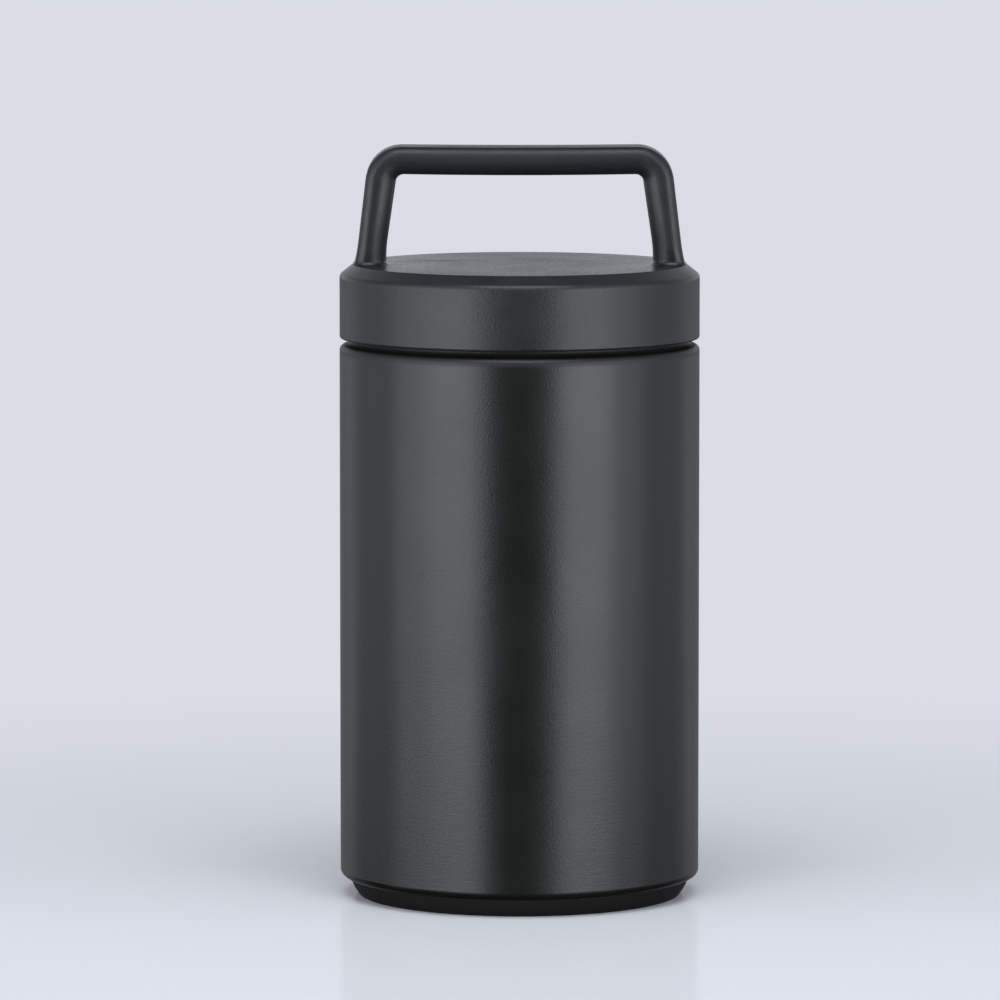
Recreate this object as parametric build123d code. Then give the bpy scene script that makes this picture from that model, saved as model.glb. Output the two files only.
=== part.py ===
from build123d import *
import os

# Insulated food jar: a double-walled vacuum vessel of steel with a ceramic lining, on a soft foot,
# closed by a screw lid whose loop handle is moulded in one piece with the lid's shell.
# Millimetres. +Z is up, the origin is the centre of the foot's resting face, the handle spans X.

# ---- Body ----------------------------------------------------------------------------------
body_r = 45.0             # outer radius of the steel body and of the lid
body_h = 133.8            # height of the outer shell from its bottom edge to its shoulder
outer_wall = 0.6          # sheet of the outer shell
shoulder_round = 1.35     # outer radius between the wall and the shoulder
bottom_round = 1.9        # outer radius between the wall and the turned-in bottom edge
hem_w = 4.0               # how far the outer shell's bottom edge turns in
neck_step = 3.0           # how much smaller the neck is than the body, on the radius
neck_root = 1.55          # inner corner radius where the neck leaves the shoulder

# ---- Inner vessel --------------------------------------------------------------------------
lip_w = 3.0               # width of the lip, over both walls of the neck
inner_wall = 0.5          # sheet of the inner vessel
lining_t = 0.4            # ceramic lining
floor_space = 6.4         # vacuum space between the outer bottom and the inner vessel
floor_round = 9.0         # corner radius at the inside of the floor
lip_round = 0.45          # rounding of the lip's outer edge
lining_drop = 1.6         # how far below the lip the lining ends

# ---- Base ----------------------------------------------------------------------------------
foot_h = 4.6              # height of the foot that shows below the shell
foot_inset = 2.4          # how far the top of the foot lies inside the body's wall
foot_taper = 2.4          # how much smaller the foot is at the ground, on the radius
foot_swell = 0.35         # how far the foot's flank bows out of a straight taper
foot_edge = 0.4           # rounding of the foot's ground edge
foot_ring_w = 6.2         # width of the ring that the jar stands on
foot_recess_h = 0.8       # depth of the hollow inside that ring
bottom_sheet = 0.6        # sheet of the outer bottom
plateau_inset = 10.0      # from the shell's hem to the raised middle of the outer bottom
plateau_h = 1.2           # height of that middle
port_r = 5.0              # dished seat of the vacuum seal
port_h = 1.1              # depth of that seat
port_hole_r = 0.8         # evacuation hole
seal_t = 0.7              # thickness of the vacuum seal

# ---- In the vacuum space -------------------------------------------------------------------
getter_at = 18.0          # distance of the getter from the axis
getter_r = 4.0            # getter tablet
getter_t = 1.6
clip_t = 0.4              # sheet of the clip that holds the getter
clip_w = 3.2              # width of its strap
clip_foot = 3.0           # length of each welded foot of the strap
foil_t = 0.2              # reflector wrapped round the inner vessel
foil_below = 12.0         # bare height of the inner vessel below the foil
foil_above = 24.0         # bare height of the inner vessel above the foil

# ---- Lid -----------------------------------------------------------------------------------
lid_gap = 1.65            # open gap between the shoulder and the closed lid
lid_h = 18.45             # height of the lid from its skirt's edge to its top
chamfer_w = 3.3           # width of the chamfer round the top
chamfer_h = 2.6           # height of that chamfer
chamfer_blend = 1.5       # rounding of the chamfer's lower edge
skirt_edge = 0.6          # rounding of the skirt's lower edge
roof_t = 2.0              # wall of the lid's top
roof_round = 1.2          # corner radius inside the lid, under the chamfer
flange_t = 1.5            # flange of the inner plug
plug_wall = 1.5           # wall of the inner plug
plug_depth = 9.6          # how far the plug reaches down into the mouth
plug_round = 2.4          # corner radius of the plug
bead_h = 0.8              # bead that keeps the gasket on the plug
bead_out = 0.5            # how far the bead stands out
gasket_t = 2.0            # gasket between the flange and the lip
gasket_round = 0.5        # rounding of the gasket's edges

# ---- Handle --------------------------------------------------------------------------------
handle_h = 29.4           # rise of the handle above the lid's top, in the middle of its bar
bar_t = 7.1               # thickness of the bar
bar_dip = 0.3             # how much lower the middle of the bar is than its ends
handle_depth = 15.0       # front to back
leg_inset = 0.35          # from the edge of the lid's flat top to the outer face of a leg
leg_flare = 1.15          # how far a leg's foot flares outwards
flare_h = 5.9             # height at which that flare begins
leg_lean = 2.8            # how far a leg leans in from there up to the bar's top
leg_foot_t = 8.05         # thickness of a leg at the lid's top
leg_top_t = 6.8           # thickness of a leg under the bar
loop_straight_h = 4.0     # height up to which the inner face is upright
loop_knee = 30.0          # radius between the upright and the leaning part of the inner face
corner_out = 9.0          # outer corner between leg and bar
corner_in = 2.0           # inner corner between leg and bar
edge_out = 2.35           # rounding of the outer edges
edge_in = 4.35            # rounding of the inner edges, where the fingers hold it
foot_blend = 1.1          # fillet between the legs and the lid's top

# ---- Clearances ----------------------------------------------------------------------------
plug_clear = 0.8          # between the plug and the mouth
thread_clear = 1.0        # between the neck and the skirt, filled by the two threads
flange_clear = 0.2        # between the flange and the skirt
gasket_clear = 0.3        # between the gasket and the plug that it sits on
hem_clear = 0.1           # between the foot's spigot and the shell's hem
foil_clear = 0.1          # between the foil and the inner vessel
getter_clear = 0.1        # between the getter and its clip
foam_clear = 0.2          # between the insulation and the plug's wall

# ---- Levels and radii that follow ----------------------------------------------------------
bottom_z = foot_h + outer_wall
shoulder_z = foot_h + body_h
lid_z = shoulder_z + lid_gap
top_z = lid_z + lid_h
roof_z = top_z - roof_t
flange_z = roof_z - flange_t
lip_z = flange_z - gasket_t
neck_top_z = lip_z - inner_wall
neck_r = body_r - neck_step
mouth_r = neck_r - lip_w
hem_r = body_r - hem_w
plateau_r = hem_r - plateau_inset
foot_top_r = body_r - foot_inset
foot_bottom_r = foot_top_r - foot_taper
foot_recess_r = foot_bottom_r - foot_ring_w
skirt_r = neck_r + thread_clear
plug_r = mouth_r - plug_clear
plug_z = lip_z - plug_depth
vessel_in_r = mouth_r + lining_t
vessel_r = vessel_in_r + inner_wall
vessel_z = bottom_z + bottom_sheet + floor_space
vessel_floor_z = vessel_z + inner_wall
lining_floor_z = vessel_floor_z + lining_t
lid_top_r = body_r - chamfer_w
leg_foot_out = lid_top_r - leg_inset
leg_low_out = leg_foot_out - leg_flare
leg_top_out = leg_low_out - leg_lean
loop_low_in = leg_foot_out - leg_foot_t
loop_top_in = leg_top_out - leg_top_t


def turned(corners):
    """Solid of revolution about Z from (radius, height, rounding) corners, in order."""
    outline = Polyline([(r, z) for r, z, _ in corners], close=True)
    section = make_face(outline)
    for r, z, rounding in corners:
        if rounding > 0:
            corner = section.vertices().sort_by_distance((r, z, 0))[0]
            section = fillet(corner, rounding)
    return revolve(Plane.XZ * section, Axis.Z)


def outer_shell():
    """Drawn steel shell: body, shoulder and neck, with its bottom edge turned in."""
    skin = turned([
        (0, foot_h, 0),
        (body_r, foot_h, bottom_round),
        (body_r, shoulder_z, shoulder_round),
        (neck_r, shoulder_z, neck_root),
        (neck_r, neck_top_z, 0),
        (0, neck_top_z, 0),
    ])
    hollow = turned([
        (0, bottom_z, 0),
        (body_r - outer_wall, bottom_z, bottom_round - outer_wall),
        (body_r - outer_wall, shoulder_z - outer_wall, shoulder_round - outer_wall),
        (neck_r - outer_wall, shoulder_z - outer_wall, neck_root + outer_wall),
        (neck_r - outer_wall, neck_top_z, 0),
        (0, neck_top_z, 0),
    ])
    hem_opening = Pos(0, 0, foot_h) * extrude(Circle(hem_r), outer_wall)
    return skin - hollow - hem_opening


def inner_vessel():
    """Drawn steel cup whose lip turns out over the neck and is welded to it."""
    cup = turned([
        (0, vessel_z, 0),
        (vessel_r, vessel_z, floor_round + inner_wall + lining_t),
        (vessel_r, neck_top_z, 0),
        (neck_r, neck_top_z, 0),
        (neck_r, lip_z, lip_round),
        (0, lip_z, 0),
    ])
    hollow = turned([
        (0, vessel_floor_z, 0),
        (vessel_in_r, vessel_floor_z, floor_round + lining_t),
        (vessel_in_r, lip_z, 0),
        (0, lip_z, 0),
    ])
    cup = cup - hollow
    mouth_edge = cup.edges().filter_by(GeomType.CIRCLE).group_by(Axis.Z)[-1].sort_by(SortBy.RADIUS)[0]
    return fillet(mouth_edge, lip_round)


def porcelain_lining():
    """Ceramic layer on the inside of the vessel, ending just below the lip."""
    lining_top_z = lip_z - lining_drop
    skin = turned([
        (0, vessel_floor_z, 0),
        (vessel_in_r, vessel_floor_z, floor_round + lining_t),
        (vessel_in_r, lining_top_z, 0),
        (0, lining_top_z, 0),
    ])
    hollow = turned([
        (0, lining_floor_z, 0),
        (mouth_r, lining_floor_z, floor_round),
        (mouth_r, lining_top_z, 0),
        (0, lining_top_z, 0),
    ])
    return skin - hollow


def outer_bottom():
    """Pressed steel disc that closes the shell, with a raised middle and a dished vacuum port."""
    rim_r = body_r - bottom_round - hem_clear
    plateau_z = bottom_z + plateau_h
    port_z = plateau_z + port_h
    lower = turned([
        (0, port_z, 0),
        (port_r - port_h, port_z, 0),
        (port_r, plateau_z, 0),
        (plateau_r - plateau_h, plateau_z, 0),
        (plateau_r, bottom_z, 0),
        (rim_r, bottom_z, 0),
        (rim_r, bottom_z + bottom_sheet, 0),
        (plateau_r, bottom_z + bottom_sheet, 0),
        (plateau_r - plateau_h, plateau_z + bottom_sheet, 0),
        (port_r, plateau_z + bottom_sheet, 0),
        (port_r - port_h, port_z + bottom_sheet, 0),
        (0, port_z + bottom_sheet, 0),
    ])
    hole = Pos(0, 0, port_z) * extrude(Circle(port_hole_r), bottom_sheet)
    return lower - hole


def vacuum_seal():
    """Bead of solder in the dished port, over the evacuation hole."""
    seat_z = bottom_z + plateau_h + port_h
    seat_r = port_r - port_h
    return turned([
        (0, seat_z - seal_t, 0),
        (seat_r, seat_z - seal_t, seal_t / 2),
        (seat_r, seat_z, 0),
        (0, seat_z, 0),
    ])


def getter():
    """Tablet that takes up stray gas, lying on the outer bottom's raised middle."""
    seat_z = bottom_z + plateau_h + bottom_sheet
    return Pos(getter_at, 0, seat_z) * extrude(Circle(getter_r), getter_t)


def getter_clip():
    """Sheet strap over the getter, with a foot welded down on each side of it."""
    seat_z = bottom_z + plateau_h + bottom_sheet
    inner_half = getter_r + getter_clear
    inner_h = getter_t + getter_clear
    outline = Polyline([
        (-inner_half - clip_t - clip_foot, 0),
        (-inner_half, 0),
        (-inner_half, inner_h),
        (inner_half, inner_h),
        (inner_half, 0),
        (inner_half + clip_t + clip_foot, 0),
        (inner_half + clip_t + clip_foot, clip_t),
        (inner_half + clip_t, clip_t),
        (inner_half + clip_t, inner_h + clip_t),
        (-inner_half - clip_t, inner_h + clip_t),
        (-inner_half - clip_t, clip_t),
        (-inner_half - clip_t - clip_foot, clip_t),
    ], close=True)
    strap = extrude(Plane.YZ * make_face(outline), clip_w / 2, both=True)
    return Pos(getter_at, 0, seat_z) * strap


def reflector_foil():
    """Foil wrapped round the straight part of the inner vessel."""
    low_z = vessel_z + foil_below
    high_z = neck_top_z - foil_above
    foil_r = vessel_r + foil_clear
    ring = Circle(foil_r + foil_t) - Circle(foil_r)
    return Pos(0, 0, low_z) * extrude(ring, high_z - low_z)


def base_foot():
    """Soft foot with a bowed flank, plugged into the shell's hem under the outer bottom."""
    mid_r = (foot_top_r + foot_bottom_r) / 2 + foot_swell
    flank = ThreePointArc((foot_bottom_r, 0), (mid_r, foot_h / 2), (foot_top_r, foot_h))
    rest = Polyline([
        (foot_top_r, foot_h),
        (hem_r - hem_clear, foot_h),
        (hem_r - hem_clear, bottom_z),
        (0, bottom_z),
        (0, foot_recess_h),
        (foot_recess_r, foot_recess_h),
        (foot_recess_r, 0),
        (foot_bottom_r, 0),
    ])
    section = make_face([flank, *rest.edges()])
    ground = section.vertices().sort_by_distance((foot_bottom_r, 0, 0))[0]
    section = fillet(ground, foot_edge)
    upper = section.vertices().sort_by_distance((foot_top_r, foot_h, 0))[0]
    section = fillet(upper, foot_edge)
    return revolve(Plane.XZ * section, Axis.Z)


def loop_outline():
    """Front outline of the finger loop, with height 0 on the lid's top."""
    sunk = -roof_t / 2
    loop_h = handle_h + bar_dip - bar_t
    outline = make_face(Curve() + [
        Line((-loop_low_in, sunk), (loop_low_in, sunk)),
        Polyline((loop_low_in, sunk), (loop_low_in, loop_straight_h), (loop_top_in, loop_h)),
        ThreePointArc((loop_top_in, loop_h), (0, loop_h - bar_dip), (-loop_top_in, loop_h)),
        Polyline((-loop_top_in, loop_h), (-loop_low_in, loop_straight_h), (-loop_low_in, sunk)),
    ])
    for side in (-1, 1):
        knee = outline.vertices().sort_by_distance((side * loop_low_in, loop_straight_h, 0))[0]
        outline = fillet(knee, loop_knee)
        corner = outline.vertices().sort_by_distance((side * loop_top_in, loop_h, 0))[0]
        outline = fillet(corner, corner_in)
    return outline


def arch_outline():
    """Front outline of the whole handle, legs flaring at the foot, the bar dipping in the middle."""
    sunk = -roof_t / 2
    end_h = handle_h + bar_dip
    lean = (leg_low_out - leg_top_out, flare_h - end_h)
    leg = Curve() + [
        Line((leg_foot_out, sunk), (leg_foot_out, 0)),
        TangentArc((leg_low_out, flare_h), (leg_foot_out, 0), tangent=lean),
        Line((leg_low_out, flare_h), (leg_top_out, end_h)),
    ]
    outline = make_face(leg + mirror(leg, Plane.YZ) + [
        Line((-leg_foot_out, sunk), (leg_foot_out, sunk)),
        ThreePointArc((leg_top_out, end_h), (0, handle_h), (-leg_top_out, end_h)),
    ])
    for side in (-1, 1):
        corner = outline.vertices().sort_by_distance((side * leg_top_out, end_h, 0))[0]
        outline = fillet(corner, corner_out)
    return outline


def handle():
    """Loop handle: broad and nearly flat outside, well rounded inside where the fingers go."""
    half_depth = handle_depth / 2
    sunk = -roof_t / 2
    block = extrude(Plane.XZ * arch_outline(), half_depth, both=True)
    rims = block.edges().group_by(Axis.Y)[0] + block.edges().group_by(Axis.Y)[-1]
    block = fillet(rims.filter_by(lambda rim: rim.center().Z > sunk / 2), edge_out)
    bar = block - extrude(Plane.XZ * loop_outline(), half_depth, both=True)
    flanks = bar.edges().group_by(Axis.Y)[0] + bar.edges().group_by(Axis.Y)[-1]
    loop_h = handle_h + bar_dip - bar_t
    rims = flanks.filter_by(
        lambda rim: abs(rim.center().X) <= loop_low_in and sunk < rim.center().Z <= loop_h)
    return fillet(rims, edge_in)


def lid_shell():
    """Moulded lid: skirt, chamfered top and the loop handle in one piece."""
    lid = turned([
        (0, lid_z, 0),
        (body_r, lid_z, skirt_edge),
        (body_r, top_z, 0),
        (0, top_z, 0),
    ])
    lid += Pos(0, 0, top_z) * handle()
    footprint = lid.edges().filter_by_position(Axis.Z, top_z, top_z)
    footprint = footprint.filter_by(lambda edge: edge.length < 2 * handle_depth)
    lid = fillet(footprint, foot_blend)
    chamfer_z = top_z - chamfer_h
    lid -= turned([
        (lid_top_r, top_z + foot_blend, 0),
        (lid_top_r, top_z, 0),
        (body_r, chamfer_z, 0),
        (2 * body_r, chamfer_z, 0),
        (2 * body_r, top_z + foot_blend, 0),
    ])
    lid = fillet(lid.edges().filter_by_position(Axis.Z, chamfer_z, chamfer_z), chamfer_blend)
    return lid - turned([
        (0, lid_z, 0),
        (skirt_r, lid_z, 0),
        (skirt_r, roof_z, roof_round),
        (0, roof_z, 0),
    ])


def lid_plug():
    """Inner cup of the lid: it hangs in the mouth, and its flange is welded under the lid's top."""
    flange_r = skirt_r - flange_clear
    cup = turned([
        (0, plug_z, 0),
        (plug_r, plug_z, plug_round),
        (plug_r, flange_z, 0),
        (flange_r, flange_z, 0),
        (flange_r, roof_z, roof_round),
        (0, roof_z, 0),
    ])
    hollow = turned([
        (0, plug_z + plug_wall, 0),
        (plug_r - plug_wall, plug_z + plug_wall, plug_round - plug_wall),
        (plug_r - plug_wall, roof_z, 0),
        (0, roof_z, 0),
    ])
    bead = turned([
        (0, lip_z - bead_h, 0),
        (plug_r, lip_z - bead_h, 0),
        (plug_r + bead_out, lip_z - bead_h / 2, 0),
        (plug_r, lip_z, 0),
        (0, lip_z, 0),
    ])
    return cup + bead - hollow


def lid_insulation():
    """Foam puck that fills the plug, from its floor to the lid's top."""
    puck_r = plug_r - plug_wall - foam_clear
    return turned([
        (0, plug_z + plug_wall, 0),
        (puck_r, plug_z + plug_wall, plug_round - plug_wall),
        (puck_r, roof_z, 0),
        (0, roof_z, 0),
    ])


def lid_gasket():
    """Silicone ring round the plug, pressed between the flange and the vessel's lip."""
    inner_r = plug_r + gasket_clear
    return turned([
        (inner_r, lip_z, gasket_round),
        (neck_r, lip_z, gasket_round),
        (neck_r, flange_z, gasket_round),
        (inner_r, flange_z, gasket_round),
    ])


PIECES = (
    outer_shell, inner_vessel, porcelain_lining, outer_bottom, vacuum_seal, getter, getter_clip,
    reflector_foil, base_foot, lid_shell, lid_plug, lid_insulation, lid_gasket,
)

os.makedirs("parts", exist_ok=True)
for piece in PIECES:
    export_step(piece(), f"parts/{piece.__name__}.step")
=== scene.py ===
"""Looks of the insulated food jar.

All lengths are in metres, in the CAD frame: +Z is up, the handle spans X, and the view is along +Y.
"""
import math

import bmesh
import bpy
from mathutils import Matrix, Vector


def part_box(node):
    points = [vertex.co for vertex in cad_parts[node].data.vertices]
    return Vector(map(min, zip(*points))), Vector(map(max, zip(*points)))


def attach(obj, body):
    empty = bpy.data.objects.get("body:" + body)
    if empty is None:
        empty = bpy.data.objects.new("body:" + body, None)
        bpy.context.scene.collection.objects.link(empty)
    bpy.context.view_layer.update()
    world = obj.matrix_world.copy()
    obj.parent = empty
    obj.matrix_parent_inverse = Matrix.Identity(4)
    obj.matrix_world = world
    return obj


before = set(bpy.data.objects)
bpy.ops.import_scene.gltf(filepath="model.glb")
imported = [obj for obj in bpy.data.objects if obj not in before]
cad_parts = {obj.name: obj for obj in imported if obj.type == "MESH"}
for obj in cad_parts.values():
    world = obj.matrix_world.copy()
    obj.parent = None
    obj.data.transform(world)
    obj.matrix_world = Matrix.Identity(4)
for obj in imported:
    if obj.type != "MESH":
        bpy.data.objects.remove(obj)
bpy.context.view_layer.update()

MM = 0.001


# ---- Places taken from the CAD -------------------------------------------------------------

BODY_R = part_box("outer_shell")[1].x
NECK_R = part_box("inner_vessel")[1].x
LID_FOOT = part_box("lid_shell")[0].z     # bottom edge of the closed lid
LID_TOP = LID_FOOT + 18.45 * MM         # the lid's flat top, which carries the handle
COATED_TO = LID_FOOT + 0.9 * MM         # end of the coat on the neck, behind the lid's skirt
SHOULDER = LID_FOOT - 1.65 * MM         # top of the coated shell, below the gap under the lid
SHOULDER_ROUND = 1.35 * MM              # radius of the edge between the shell's wall and shoulder
WALL_FROM = 6.5 * MM                    # height where the shell's straight wall starts
BARE_RADIUS = 44.55 * MM                # the shell is bare steel inside this radius ...
BARE_FROM = 6.2 * MM                    # ... from this height ...
BARE_TO = 137.5 * MM                    # ... to this one


# ---- Camera --------------------------------------------------------------------------------

CAMERA_AT = (-4.90 * MM, -1951.3 * MM, 300.07 * MM)
CAMERA_PITCH = 5.878      # degrees below the horizon
CAMERA_LENS = 281.89      # millimetres, on a sensor of SENSOR_WIDTH
SENSOR_WIDTH = 36.0
CLIP = (0.05, 200.0)      # nearest and furthest distance that is drawn


def make_camera():
    data = bpy.data.cameras.new("camera")
    data.lens = CAMERA_LENS
    data.sensor_width = SENSOR_WIDTH
    data.clip_start, data.clip_end = CLIP
    camera = bpy.data.objects.new("camera", data)
    camera.location = CAMERA_AT
    camera.rotation_euler = (math.radians(90.0 - CAMERA_PITCH), 0.0, 0.0)
    bpy.context.scene.collection.objects.link(camera)
    bpy.context.scene.camera = camera


# ---- Node helpers --------------------------------------------------------------------------

EDGE = 0.1 * MM           # width over which one finish gives way to the next


class Nodes:
    """A node tree under construction: short calls that add a node and return its output."""

    def __init__(self, tree):
        self.tree = tree
        self.tree.nodes.clear()

    def link(self, source, target):
        self.tree.links.new(source, target)

    def put(self, socket, value):
        """Links an output to an input socket, or sets the socket to a plain value."""
        if isinstance(value, bpy.types.NodeSocket):
            self.link(value, socket)
        else:
            socket.default_value = value

    def ramp(self, value, low, high, to_low=0.0, to_high=1.0):
        """Maps value from low..high smoothly onto to_low..to_high and stops there."""
        node = self.tree.nodes.new("ShaderNodeMapRange")
        node.interpolation_type = "SMOOTHSTEP"
        self.link(value, node.inputs["Value"])
        node.inputs["From Min"].default_value = low
        node.inputs["From Max"].default_value = high
        node.inputs["To Min"].default_value = to_low
        node.inputs["To Max"].default_value = to_high
        return node.outputs[0]

    def math(self, operation, a, b=0.0):
        """Result of an operation on a and b, each a number or an output."""
        node = self.tree.nodes.new("ShaderNodeMath")
        node.operation = operation
        self.put(node.inputs[0], a)
        self.put(node.inputs[1], b)
        return node.outputs[0]

    def add(self, first, *others):
        for other in others:
            first = self.math("ADD", first, other)
        return first

    def times(self, first, *others):
        for other in others:
            first = self.math("MULTIPLY", first, other)
        return first

    def length(self, a, b):
        """Length of the flat vector (a, b)."""
        return self.math("SQRT", self.add(self.times(a, a), self.times(b, b)))


class Shader(Nodes):
    """A material under construction."""

    def __init__(self, name):
        self.material = bpy.data.materials.new(name)
        self.material.use_nodes = True
        super().__init__(self.material.node_tree)
        self.output = self.tree.nodes.new("ShaderNodeOutputMaterial")
        self.principled = self.tree.nodes.new("ShaderNodeBsdfPrincipled")
        self.link(self.principled.outputs[0], self.output.inputs["Surface"])
        self.place = self.tree.nodes.new("ShaderNodeTexCoord").outputs["Object"]

    def split(self):
        """Object coordinates as three numbers."""
        node = self.tree.nodes.new("ShaderNodeSeparateXYZ")
        self.link(self.place, node.inputs[0])
        return node.outputs

    def radius(self):
        """Distance from the jar's axis."""
        x, y, _ = self.split()
        return self.length(x, y)

    def above(self, value, edge):
        """0 up to the edge, and 1 just past it."""
        return self.ramp(value, edge, edge + EDGE)

    def under(self, value, edge):
        """1 up to the edge, and 0 just past it."""
        return self.ramp(value, edge, edge + EDGE, 1.0, 0.0)

    def stretched(self, x, y, z):
        """Object coordinates scaled by (x, y, z), in cells for each metre."""
        node = self.tree.nodes.new("ShaderNodeMapping")
        node.inputs["Scale"].default_value = (x, y, z)
        self.link(self.place, node.inputs["Vector"])
        return node.outputs[0]

    def noise(self, cells, detail=2.0, roughness=0.5, stretch=(1, 1, 1)):
        """Noise from 0 to 1 with that many cells for each metre, drawn out where stretch is under 1."""
        node = self.tree.nodes.new("ShaderNodeTexNoise")
        node.inputs["Scale"].default_value = 1.0
        node.inputs["Detail"].default_value = detail
        node.inputs["Roughness"].default_value = roughness
        self.link(self.stretched(*(cells * s for s in stretch)), node.inputs["Vector"])
        return node.outputs["Fac"]

    def spread(self, noise, to_low=0.0, to_high=1.0):
        """Maps the values that a noise mostly has, 0.3 to 0.7, onto to_low..to_high."""
        return self.ramp(noise, 0.3, 0.7, to_low, to_high)

    def cells(self, count, feature="F1"):
        """Distance in a pattern with that many cells for each metre."""
        node = self.tree.nodes.new("ShaderNodeTexVoronoi")
        node.feature = feature
        node.inputs["Scale"].default_value = 1.0
        self.link(self.stretched(count, count, count), node.inputs["Vector"])
        return node.outputs["Distance"]

    def mix(self, factor, a, b):
        """Colour between a and b, each a tuple or an output."""
        node = self.tree.nodes.new("ShaderNodeMix")
        node.data_type = "RGBA"
        self.put(node.inputs[0], factor)
        self.put(node.inputs[6], (*a, 1.0) if isinstance(a, tuple) else a)
        self.put(node.inputs[7], (*b, 1.0) if isinstance(b, tuple) else b)
        return node.outputs[2]

    def unit(self, x, y, z):
        """Direction of the vector (x, y, z)."""
        joined = self.tree.nodes.new("ShaderNodeCombineXYZ")
        for socket, value in zip(joined.inputs, (x, y, z)):
            self.put(socket, value)
        node = self.tree.nodes.new("ShaderNodeVectorMath")
        node.operation = "NORMALIZE"
        self.link(joined.outputs[0], node.inputs[0])
        return node.outputs[0]

    def mix_normal(self, factor, normal):
        """The surface's own normal at factor 0, and the given one at factor 1."""
        own = self.tree.nodes.new("ShaderNodeNewGeometry").outputs["Normal"]
        node = self.tree.nodes.new("ShaderNodeMix")
        node.data_type = "VECTOR"
        self.put(node.inputs[0], factor)
        self.link(own, node.inputs[4])
        self.link(normal, node.inputs[5])
        return node.outputs[1]

    def bump(self, height, depth, under=None):
        """Normal of a relief of that depth, on top of the normal under if there is one."""
        node = self.tree.nodes.new("ShaderNodeBump")
        node.inputs["Distance"].default_value = depth
        self.link(height, node.inputs["Height"])
        if under is not None:
            self.link(under, node.inputs["Normal"])
        return node.outputs[0]

    def finish(self, **sockets):
        """Sets the principled shader's sockets, named with underscores, and returns the material."""
        for name, value in sockets.items():
            self.put(self.principled.inputs[name.replace("_", " ")], value)
        return self.material


# ---- Materials -----------------------------------------------------------------------------

KNIT_Y = 12.2 * MM        # where the knit line crosses the lid's middle
KNIT_BOW = 4.7            # its bend towards the legs, as 1 / m
KNIT_CORE = 0.25 * MM     # the line is at full strength up to this distance from its middle ...
KNIT_END = 0.65 * MM      # ... and gone at this one
KNIT_ROUGHER = 0.35       # what it adds to the plastic's roughness


def turned_normal(s):
    """Exact normal of the shell's straight wall and rounded shoulder, which hides the mesh's seam."""
    x, y, z = s.split()
    radius = s.radius()
    out = s.math("MAXIMUM", s.math("SUBTRACT", radius, BODY_R - SHOULDER_ROUND), 0.0)
    up = s.math("MAXIMUM", s.math("SUBTRACT", z, SHOULDER - SHOULDER_ROUND), 0.0)
    share = s.math("DIVIDE", out, radius)
    normal = s.unit(s.times(x, share), s.times(y, share), up)
    outside = s.ramp(s.length(out, up), SHOULDER_ROUND - 0.15 * MM, SHOULDER_ROUND - 0.10 * MM)
    below = s.ramp(z, SHOULDER + 0.02 * MM, SHOULDER + 0.05 * MM, 1.0, 0.0)
    return s.mix_normal(s.times(outside, below, s.above(z, WALL_FROM)), normal)


def powder_coat():
    """Satin black powder coat with a fine grain over turned steel, bare on the neck and inside."""
    s = Shader("powder_coat")
    height = s.split()[2]
    grain = s.noise(2200, detail=0.3)
    peel = s.noise(800, detail=1.0)
    turning = s.noise(2200, detail=1.5, stretch=(0.05, 0.05, 1.0))
    mottle = s.noise(60, detail=3.0)

    on_wall = s.ramp(height, SHOULDER - 1.9 * MM, SHOULDER - 1.3 * MM, 1.0, 0.0)
    relief = s.bump(s.times(grain, on_wall), 0.017 * MM, under=turned_normal(s))
    relief = s.bump(s.times(peel, on_wall), 0.005 * MM, under=relief)
    relief = s.bump(s.times(turning, on_wall), 0.007 * MM, under=relief)

    on_neck = s.above(height, COATED_TO)
    inside = s.times(
        s.under(s.radius(), BARE_RADIUS), s.above(height, BARE_FROM), s.under(height, BARE_TO))
    bare = s.math("MAXIMUM", on_neck, inside)
    coat_tone = s.mix(s.spread(mottle), (0.0046, 0.0049, 0.0046), (0.0058, 0.0061, 0.0058))
    steel_tone = s.mix(turning, (0.55, 0.54, 0.53), (0.68, 0.67, 0.66))
    soft_edge = s.ramp(height, SHOULDER - 2.4 * MM, SHOULDER - 1.4 * MM, 0.0, 0.16)
    return s.finish(
        Base_Color=s.mix(bare, coat_tone, steel_tone),
        Metallic=bare,
        Roughness=s.add(s.spread(mottle, 0.30, 0.33), soft_edge, s.times(bare, -0.08)),
        Normal=relief)


def knit_line(s, x, y):
    """Strength of the faint curved line where two flows of plastic met, from 0 to 1."""
    off_line = s.add(s.math("SUBTRACT", y, KNIT_Y), s.times(x, x, KNIT_BOW))
    line = s.ramp(s.math("ABSOLUTE", off_line), KNIT_CORE, KNIT_END, 1.0, 0.0)
    faint = s.ramp(s.noise(45, detail=1.0), 0.35, 0.60, 0.25, 1.0)
    return s.times(line, faint)


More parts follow.
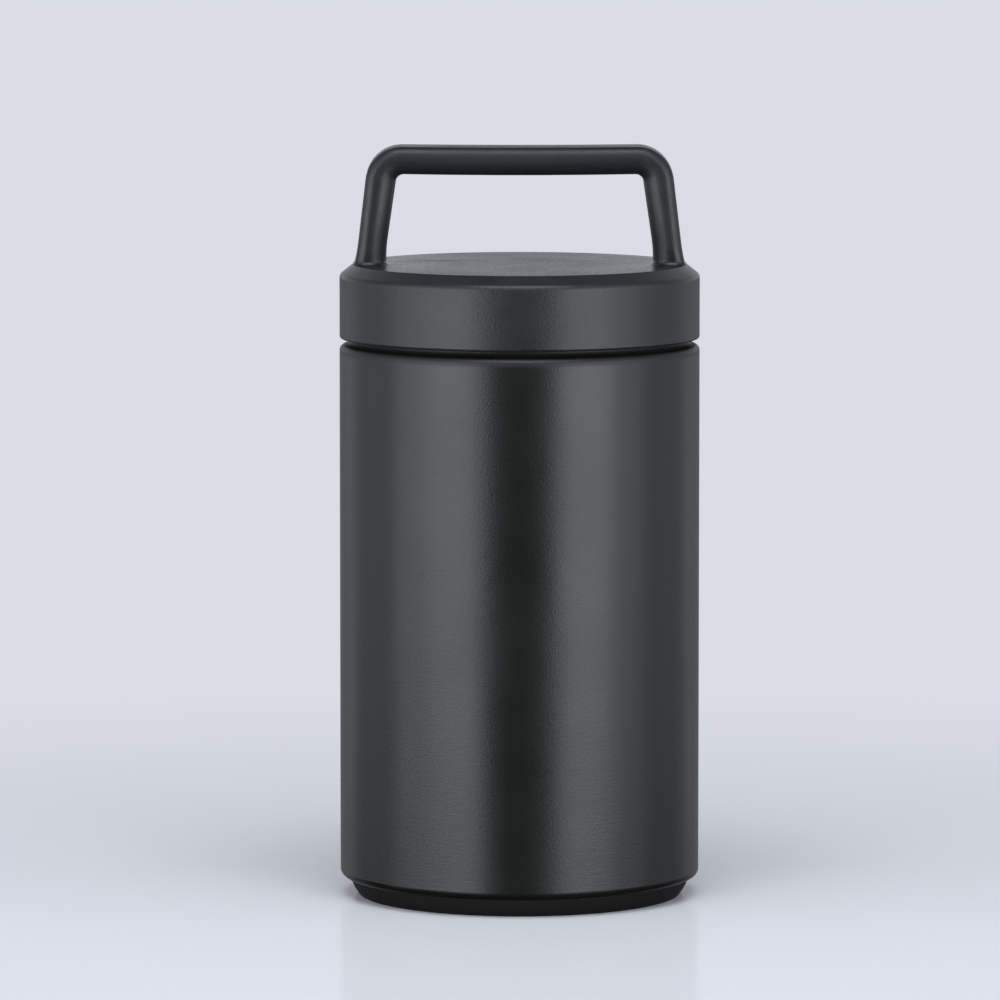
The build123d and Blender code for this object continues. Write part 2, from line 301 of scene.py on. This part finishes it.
def lid_plastic():
    """Black moulded plastic with a fine spark-eroded grain, and a knit line across the flat top."""
    s = Shader("lid_plastic")
    x, y, z = s.split()
    grain = s.noise(2000, detail=1.0)
    wave = s.noise(600, detail=2.0)
    mottle = s.noise(80, detail=3.0)

    speckle = s.spread(s.noise(1200, detail=1.0, stretch=(1.0, 0.3, 1.0)), -0.03, 0.03)
    near_legs = s.ramp(s.math("ABSOLUTE", x), 12 * MM, 34 * MM, 0.0, -0.05)
    knit = s.times(knit_line(s, x, y), KNIT_ROUGHER)
    top = s.times(s.add(speckle, near_legs, knit), s.above(z, LID_TOP - 0.15 * MM))
    handle = s.ramp(z, LID_TOP + 1.5 * MM, LID_TOP + 6 * MM, 0.0, 0.07)
    return s.finish(
        Base_Color=s.mix(s.spread(mottle), (0.0092, 0.0098, 0.0120), (0.0106, 0.0113, 0.0138)),
        Roughness=s.add(s.spread(mottle, 0.36, 0.40), handle, top),
        Normal=s.bump(wave, 0.010 * MM, under=s.bump(grain, 0.042 * MM)))


def foot_rubber():
    """Matte black rubber with a fine grain and a little dust."""
    s = Shader("foot_rubber")
    grain = s.noise(2200, detail=3.0)
    dust = s.ramp(s.noise(420, detail=4.0, roughness=0.7), 0.66, 0.74, 0.0, 0.12)
    return s.finish(
        Base_Color=s.mix(dust, (0.0060, 0.0060, 0.0062), (0.20, 0.20, 0.20)),
        Roughness=s.spread(grain, 0.68, 0.80),
        Specular_IOR_Level=0.25,
        Normal=s.bump(grain, 0.02 * MM))


def bare_steel():
    """Turned stainless steel with fine lines round the axis."""
    s = Shader("bare_steel")
    lines = s.noise(5200, detail=2.0, stretch=(0.02, 0.02, 1.0))
    return s.finish(
        Base_Color=s.mix(lines, (0.52, 0.51, 0.50), (0.68, 0.67, 0.65)),
        Metallic=1.0,
        Roughness=s.spread(lines, 0.22, 0.34),
        Normal=s.bump(lines, 0.004 * MM))


def glazed_ceramic():
    """Off-white glazed lining with faint specks and a gentle wave in the glaze."""
    s = Shader("glazed_ceramic")
    wave = s.noise(140, detail=2.0)
    specks = s.ramp(s.noise(1500, detail=2.0), 0.72, 0.78, 0.0, 0.5)
    return s.finish(
        Base_Color=s.mix(specks, (0.80, 0.79, 0.75), (0.50, 0.46, 0.40)),
        Roughness=s.spread(wave, 0.10, 0.18),
        Coat_Weight=0.6,
        Coat_Roughness=0.05,
        Normal=s.bump(wave, 0.06 * MM))


def plug_plastic():
    """Black food-grade plastic, smoother than the lid's shell."""
    s = Shader("plug_plastic")
    grain = s.noise(2400, detail=2.0)
    flow = s.noise(45, detail=2.0)
    return s.finish(
        Base_Color=s.mix(flow, (0.020, 0.020, 0.021), (0.028, 0.028, 0.030)),
        Roughness=s.spread(flow, 0.34, 0.42),
        Normal=s.bump(grain, 0.006 * MM))


def silicone():
    """Grey translucent silicone with a fine bloom."""
    s = Shader("silicone")
    bloom = s.noise(500, detail=3.0)
    return s.finish(
        Base_Color=s.mix(bloom, (0.42, 0.43, 0.43), (0.50, 0.51, 0.51)),
        Roughness=s.spread(bloom, 0.48, 0.60),
        Subsurface_Weight=0.15,
        Subsurface_Radius=(1 * MM, 1 * MM, 1 * MM),
        Normal=s.bump(bloom, 0.01 * MM))


def foam():
    """White closed-cell foam, with painted shade darkening the cell pits."""
    s = Shader("foam")
    cells = s.cells(1300)
    return s.finish(
        # Painted shade: the base colour is darker in the middle of each cell, where the relief dips
        # into a pit.
        Base_Color=s.mix(s.ramp(cells, 0.0, 0.8), (0.80, 0.80, 0.76), (0.88, 0.88, 0.85)),
        Roughness=s.ramp(cells, 0.0, 0.8, 0.80, 0.92),
        Normal=s.bump(cells, 0.25 * MM))


def foil():
    """Crinkled aluminium foil, with painted shade darkening the creases."""
    s = Shader("foil")
    creases = s.cells(130, feature="DISTANCE_TO_EDGE")
    return s.finish(
        # Painted shade: the base colour is darker along the creases, where the relief dips.
        Base_Color=s.mix(s.ramp(creases, 0.0, 0.15), (0.62, 0.62, 0.63), (0.80, 0.80, 0.81)),
        Metallic=1.0,
        Roughness=s.ramp(creases, 0.0, 0.2, 0.30, 0.16),
        Normal=s.bump(s.ramp(creases, 0.0, 0.2), 0.10 * MM))


def solder():
    """Dull solder with a frosted skin."""
    s = Shader("solder")
    skin = s.noise(1800, detail=3.0)
    return s.finish(
        Base_Color=s.mix(skin, (0.42, 0.41, 0.39), (0.60, 0.59, 0.57)),
        Metallic=1.0,
        Roughness=s.spread(skin, 0.35, 0.55),
        Normal=s.bump(skin, 0.02 * MM))


def getter_metal():
    """Pressed getter powder."""
    s = Shader("getter_metal")
    powder = s.noise(5000, detail=4.0, roughness=0.7)
    return s.finish(
        Base_Color=s.mix(powder, (0.10, 0.10, 0.105), (0.24, 0.24, 0.25)),
        Metallic=0.6,
        Roughness=s.spread(powder, 0.65, 0.85),
        Normal=s.bump(powder, 0.03 * MM))


def dress_nodes(finishes):
    """Gives each CAD node the material of its finish."""
    for node, material in finishes.items():
        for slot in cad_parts[node].material_slots:
            slot.link = "OBJECT"
            slot.material = material


# ---- Screw threads -------------------------------------------------------------------------

SKIRT_R = NECK_R + 1.0 * MM         # wall of the skirt's thread
THREAD_Z = LID_FOOT + 2.4 * MM      # where the neck's thread starts
THREAD_FIRST_ANGLE = 200            # degrees
THREAD_STARTS = 2
THREAD_TURNS = 1.2
THREAD_LEAD = 6.0 * MM              # rise of a ridge in one turn
THREAD_HEIGHT = 0.75 * MM
THREAD_ROOT_W = 1.5 * MM
THREAD_CREST_W = 0.8 * MM
THREAD_BEVEL = 0.18 * MM            # softens both edges of the crest
RUN_OUT = 22                        # degrees over which each end of a ridge rises from the wall
STEP = 3                            # degrees between two sections of a ridge
SUNK = 0.08 * MM                    # how far the root of a ridge goes into its wall


def ridge_section(radius, side, rise):
    """Outline of a ridge as (radius, height) pairs, where rise is 0 at its tip and 1 at full size."""
    root_r = radius - side * SUNK
    crest_r = radius + side * (THREAD_HEIGHT * rise - SUNK * (1 - rise) / 2)
    edge_r = crest_r - side * THREAD_BEVEL * rise
    root = THREAD_ROOT_W / 2
    crest = THREAD_CREST_W / 2 - THREAD_BEVEL
    edge = THREAD_CREST_W / 2 + 0.35 * THREAD_BEVEL
    return [
        (root_r, -root),
        (edge_r, -edge),
        (crest_r, -crest),
        (crest_r, crest),
        (edge_r, edge),
        (root_r, root)]


def ridge(bm, radius, side, start_z, start_angle):
    """One helical ridge on a wall of that radius: side 1 stands outwards, side -1 inwards."""
    steps = round(THREAD_TURNS * 360 / STEP)
    rings = []
    for i in range(steps + 1):
        turned = math.radians(i * STEP)
        angle = math.radians(start_angle) + turned
        z = start_z + THREAD_LEAD * turned / (2 * math.pi)
        from_end = min(i, steps - i) * STEP
        rise = math.sin(math.pi / 2 * min(1.0, from_end / RUN_OUT))
        rings.append([
            bm.verts.new((r * math.cos(angle), r * math.sin(angle), z + dz))
            for r, dz in ridge_section(radius, side, rise)])
    count = len(rings[0])
    for one, other in zip(rings, rings[1:]):
        for k in range(count):
            after = (k + 1) % count
            bm.faces.new((one[k], one[after], other[after], other[k]))
    bm.faces.new(rings[0])
    bm.faces.new(list(reversed(rings[-1])))


def thread(name, radius, side, start_z, body, material):
    """All starts of a thread as one piece that rides on a body."""
    bm = bmesh.new()
    for start in range(THREAD_STARTS):
        ridge(bm, radius, side, start_z, THREAD_FIRST_ANGLE + start * 360 / THREAD_STARTS)
    bmesh.ops.recalc_face_normals(bm, faces=bm.faces)
    mesh = bpy.data.meshes.new(name)
    bm.to_mesh(mesh)
    bm.free()
    for face in mesh.polygons:
        face.use_smooth = True
    mesh.materials.append(material)
    piece = bpy.data.objects.new(name, mesh)
    bpy.context.scene.collection.objects.link(piece)
    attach(piece, body)


# ---- Studio --------------------------------------------------------------------------------

BACKDROP = (0.70, 0.72, 0.79)
FLOOR_HALF = 40.0
FLOOR_GLOSS = 0.12              # share of the floor's look that mirrors
FLOOR_GLOSS_ROUGHNESS = 0.13
FLOOR_LIT_TO = 0.08             # from this radius the lit floor fades ...
FLOOR_PLAIN_FROM = 0.42         # ... into the backdrop's tone at this one

SOFTBOX_DISTANCE = 1.3
JAR_MIDDLE = 0.09               # height that the softboxes face
LIGHT_TINT = (0.97, 0.995, 1.035)

# Elevations of the side softboxes, in degrees as seen from the jar's middle.
LOW = (-28, -13)
LEVEL = (-13, 11)
UPPER = (11, 25)
HIGH = (25, 48)
DOME = (14, 72)


def floor_material():
    """Pale sheet with a soft gloss that fades into the backdrop's own tone, see-through from below."""
    s = Shader("studio_floor")
    cloud = s.noise(3, detail=2.0)
    s.finish(
        Base_Color=s.mix(cloud, (0.88, 0.90, 0.95), (0.90, 0.92, 0.97)),
        Roughness=s.spread(cloud, 0.60, 0.62),
        Specular_IOR_Level=0.0)
    gloss = s.tree.nodes.new("ShaderNodeBsdfGlossy")
    gloss.inputs["Roughness"].default_value = FLOOR_GLOSS_ROUGHNESS
    glow = s.tree.nodes.new("ShaderNodeEmission")
    glow.inputs["Color"].default_value = (*BACKDROP, 1.0)
    clear = s.tree.nodes.new("ShaderNodeBsdfTransparent")
    far = s.ramp(s.radius(), FLOOR_LIT_TO, FLOOR_PLAIN_FROM)
    below = s.tree.nodes.new("ShaderNodeNewGeometry").outputs["Backfacing"]
    look = s.principled.outputs[0]
    for share, other in ((FLOOR_GLOSS, gloss), (far, glow), (below, clear)):
        blend = s.tree.nodes.new("ShaderNodeMixShader")
        s.put(blend.inputs[0], share)
        s.link(look, blend.inputs[1])
        s.link(other.outputs[0], blend.inputs[2])
        look = blend.outputs[0]
    s.link(look, s.output.inputs["Surface"])
    s.material.cycles.emission_sampling = "NONE"
    return s.material


def make_floor():
    half = FLOOR_HALF
    corners = [(-half, -half, 0), (half, -half, 0), (half, half, 0), (-half, half, 0)]
    mesh = bpy.data.meshes.new("floor")
    mesh.from_pydata(corners, [], [(0, 1, 2, 3)])
    mesh.materials.append(floor_material())
    floor = bpy.data.objects.new("floor", mesh)
    bpy.context.scene.collection.objects.link(floor)
    floor.visible_glossy = False
    floor.visible_shadow = False


def make_world():
    """Bright backdrop behind the jar and a dark studio before it, but plain and pale to the camera."""
    world = bpy.data.worlds.new("studio")
    bpy.context.scene.world = world
    world.use_nodes = True
    sky = Nodes(world.node_tree)
    place = sky.tree.nodes.new("ShaderNodeTexCoord").outputs["Generated"]
    towards = sky.tree.nodes.new("ShaderNodeSeparateXYZ")
    sky.link(place, towards.inputs[0])
    _, back, up = towards.outputs
    backdrop = sky.ramp(back, 0.55, 0.90)
    horizon = sky.ramp(up, -0.06, 0.09, 0.38, 1.55)
    above = sky.ramp(up, 0.12, 0.22, 1.0, 0.50)
    overhead = sky.ramp(up, 0.62, 0.82, 1.0, 0.0)
    seen = sky.tree.nodes.new("ShaderNodeLightPath").outputs["Is Camera Ray"]
    background = sky.tree.nodes.new("ShaderNodeBackground")
    background.inputs["Color"].default_value = (*BACKDROP, 1.0)
    strength = sky.math("MAXIMUM", sky.times(backdrop, overhead, horizon, above), seen)
    sky.link(strength, background.inputs["Strength"])
    output = sky.tree.nodes.new("ShaderNodeOutputWorld")
    sky.link(background.outputs[0], output.inputs["Surface"])


def softbox(name, azimuths, elevations, radiance):
    """Area light that fills these degrees as seen from the jar.

    Azimuth 0 is the camera's side, and 90 is the right.
    """
    azimuth, elevation = (math.radians(sum(span) / 2) for span in (azimuths, elevations))
    width, height = (
        2 * SOFTBOX_DISTANCE * math.tan(math.radians(span[1] - span[0]) / 2)
        for span in (azimuths, elevations))
    data = bpy.data.lights.new(name, "AREA")
    data.shape = "RECTANGLE"
    data.size, data.size_y = width, height
    data.color = LIGHT_TINT
    data.energy = radiance * math.pi * width * height
    light = bpy.data.objects.new(name, data)
    light.location = (
        SOFTBOX_DISTANCE * math.sin(azimuth) * math.cos(elevation),
        -SOFTBOX_DISTANCE * math.cos(azimuth) * math.cos(elevation),
        JAR_MIDDLE + SOFTBOX_DISTANCE * math.sin(elevation))
    light.rotation_euler = (math.radians(90) - elevation, 0.0, azimuth)
    light.visible_camera = False
    bpy.context.scene.collection.objects.link(light)


def panel(side, name, near, far, elevations, radiance):
    """Softbox on the left or right side, from azimuth near to far."""
    azimuths = (near, far) if side == "right" else (-far, -near)
    softbox(f"{name}_{side}", azimuths, elevations, radiance)


def make_lights():
    for side in ("right", "left"):
        left = side == "left"
        panel(side, "key", 23, 60, LEVEL, 3.75 if left else 3.95)
        panel(side, "fill", 60, 84, LEVEL, 2.45 if left else 1.72)
        panel(side, "edge", 84, 112, LEVEL, 0.83 if left else 0.70)
        panel(side, "rear", 112, 142, LEVEL, 0.50 if left else 0.44)
        panel(side, "low", 23, 42, LOW, 1.4)
        panel(side, "upper", 23, 84, UPPER, 1.3)
        panel(side, "high", 23, 84, HIGH, 0.7)
        panel(side, "dome", 84, 140, DOME, 0.28)
    softbox("top", (-19, 19), (46, 80), 3.7)
    softbox("front", (-23, 23), (16, 46), 0.70)


# ---- The scene -----------------------------------------------------------------------------

make_camera()

plastic = lid_plastic()
steel = bare_steel()
dress_nodes({
    "outer_shell": powder_coat(),
    "inner_vessel": steel,
    "porcelain_lining": glazed_ceramic(),
    "outer_bottom": steel,
    "vacuum_seal": solder(),
    "getter": getter_metal(),
    "getter_clip": steel,
    "reflector_foil": foil(),
    "base_foot": foot_rubber(),
    "lid_shell": plastic,
    "lid_plug": plug_plastic(),
    "lid_insulation": foam(),
    "lid_gasket": silicone(),
})

thread("neck_thread", NECK_R, 1, THREAD_Z, "jar", steel)
thread("skirt_thread", SKIRT_R, -1, THREAD_Z + THREAD_LEAD / 4, "lid", plastic)

make_floor()
make_world()
make_lights()
bpy.context.scene.view_settings.view_transform = "Standard"
